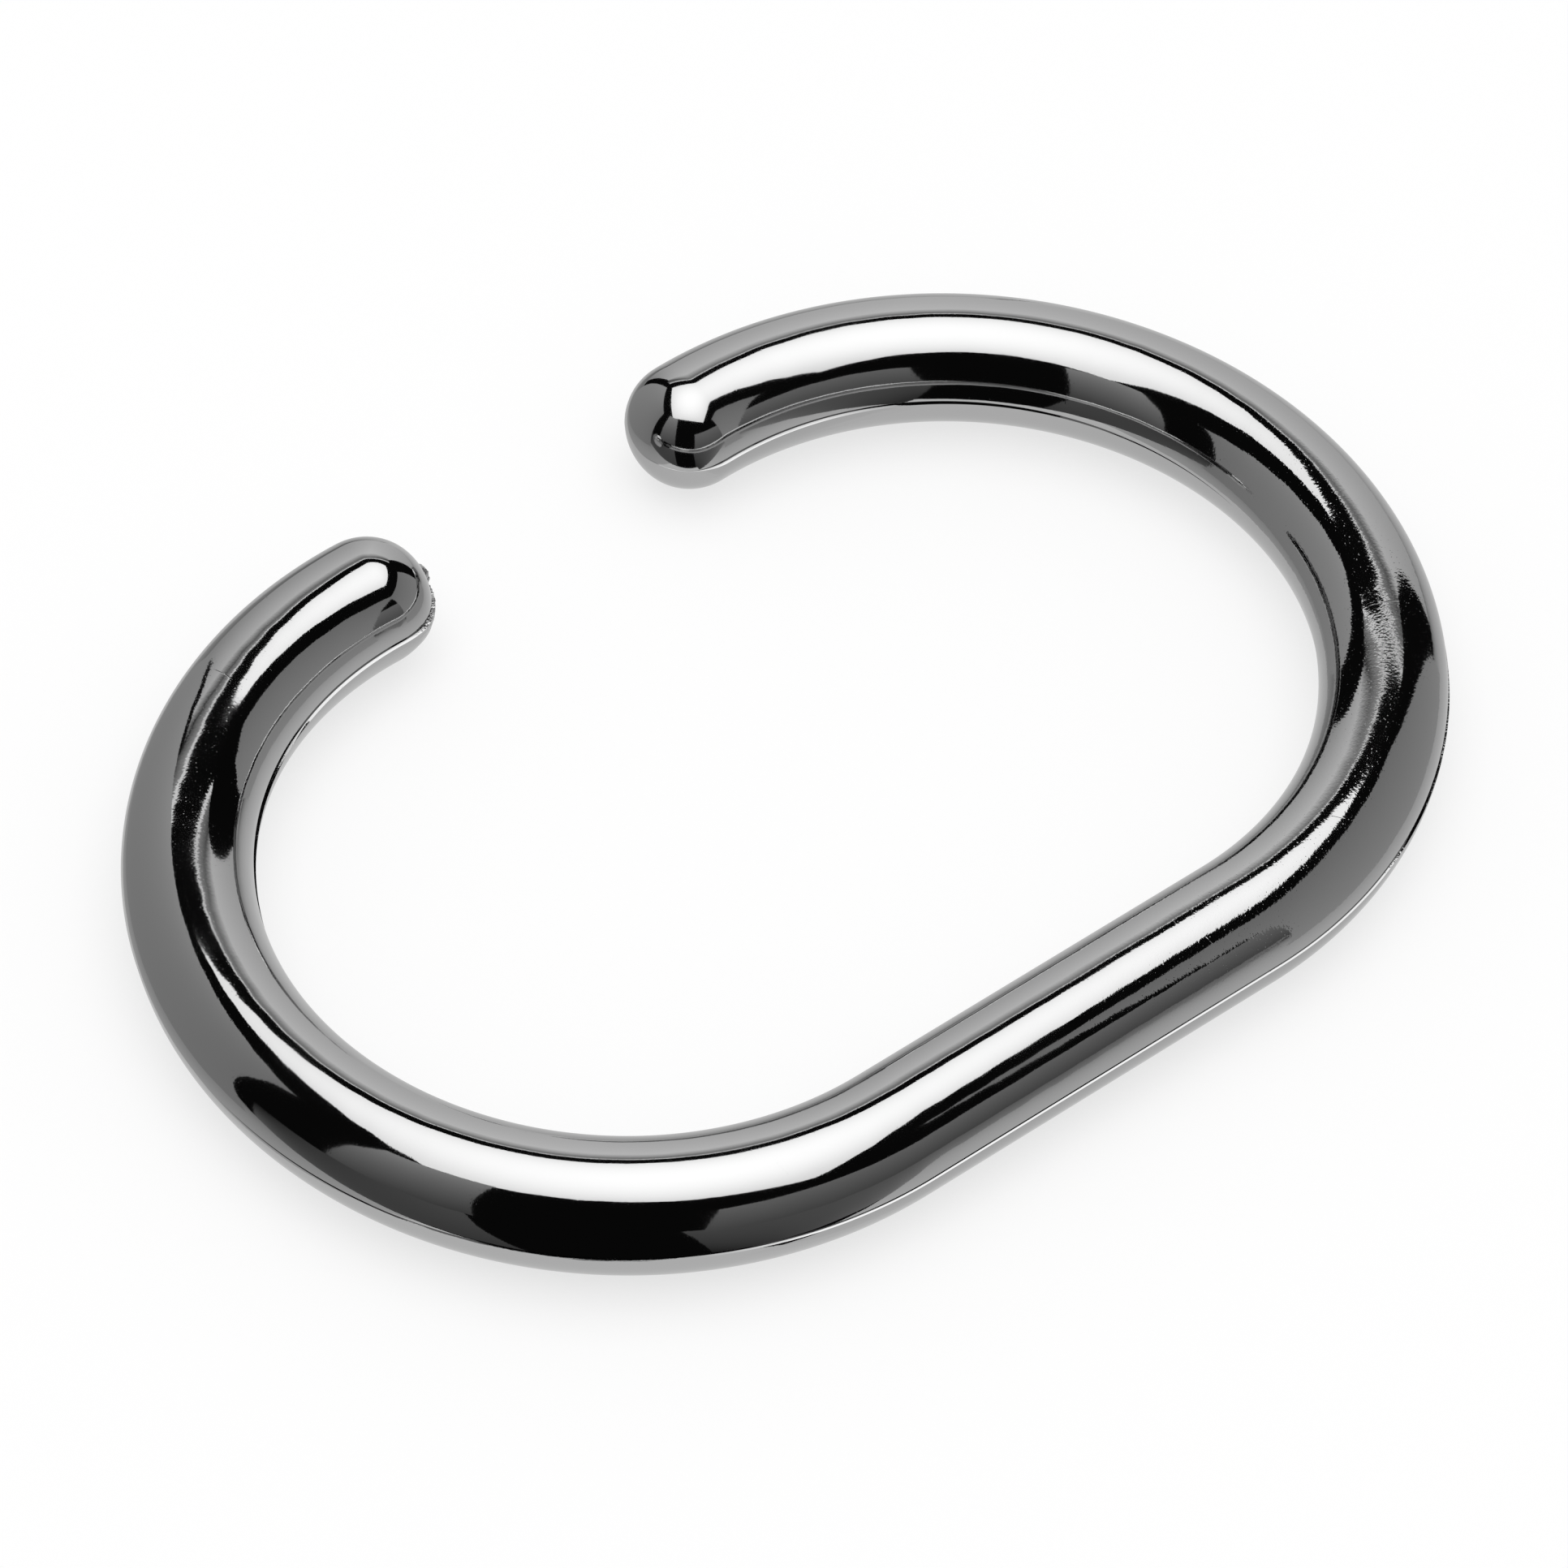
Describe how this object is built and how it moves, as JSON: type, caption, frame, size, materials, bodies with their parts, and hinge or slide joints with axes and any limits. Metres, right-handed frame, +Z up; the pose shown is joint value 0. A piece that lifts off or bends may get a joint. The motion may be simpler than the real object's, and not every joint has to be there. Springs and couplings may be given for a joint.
{
  "type": "shower curtain ring",
  "caption": "Open C-shaped curtain ring of round bar with a straight side, rounded lobes and domed tips beside its mouth, moulded whole and chrome plated, to hang a curtain from a rail.",
  "frame": {"origin": "on the floor that the ring lies on, under the middle of its box", "axes": "+X along the straight side, +Y from the straight side to the open mouth, +Z up, square to the plane that the ring lies in"},
  "size_m": [0.065, 0.0452, 0.006],
  "materials": {
    "chrome_plating": "bright chrome plating on moulded ABS"
  },
  "bodies": {
    "root": {"ring": "chrome_plating"}
  },
  "joints": []
}
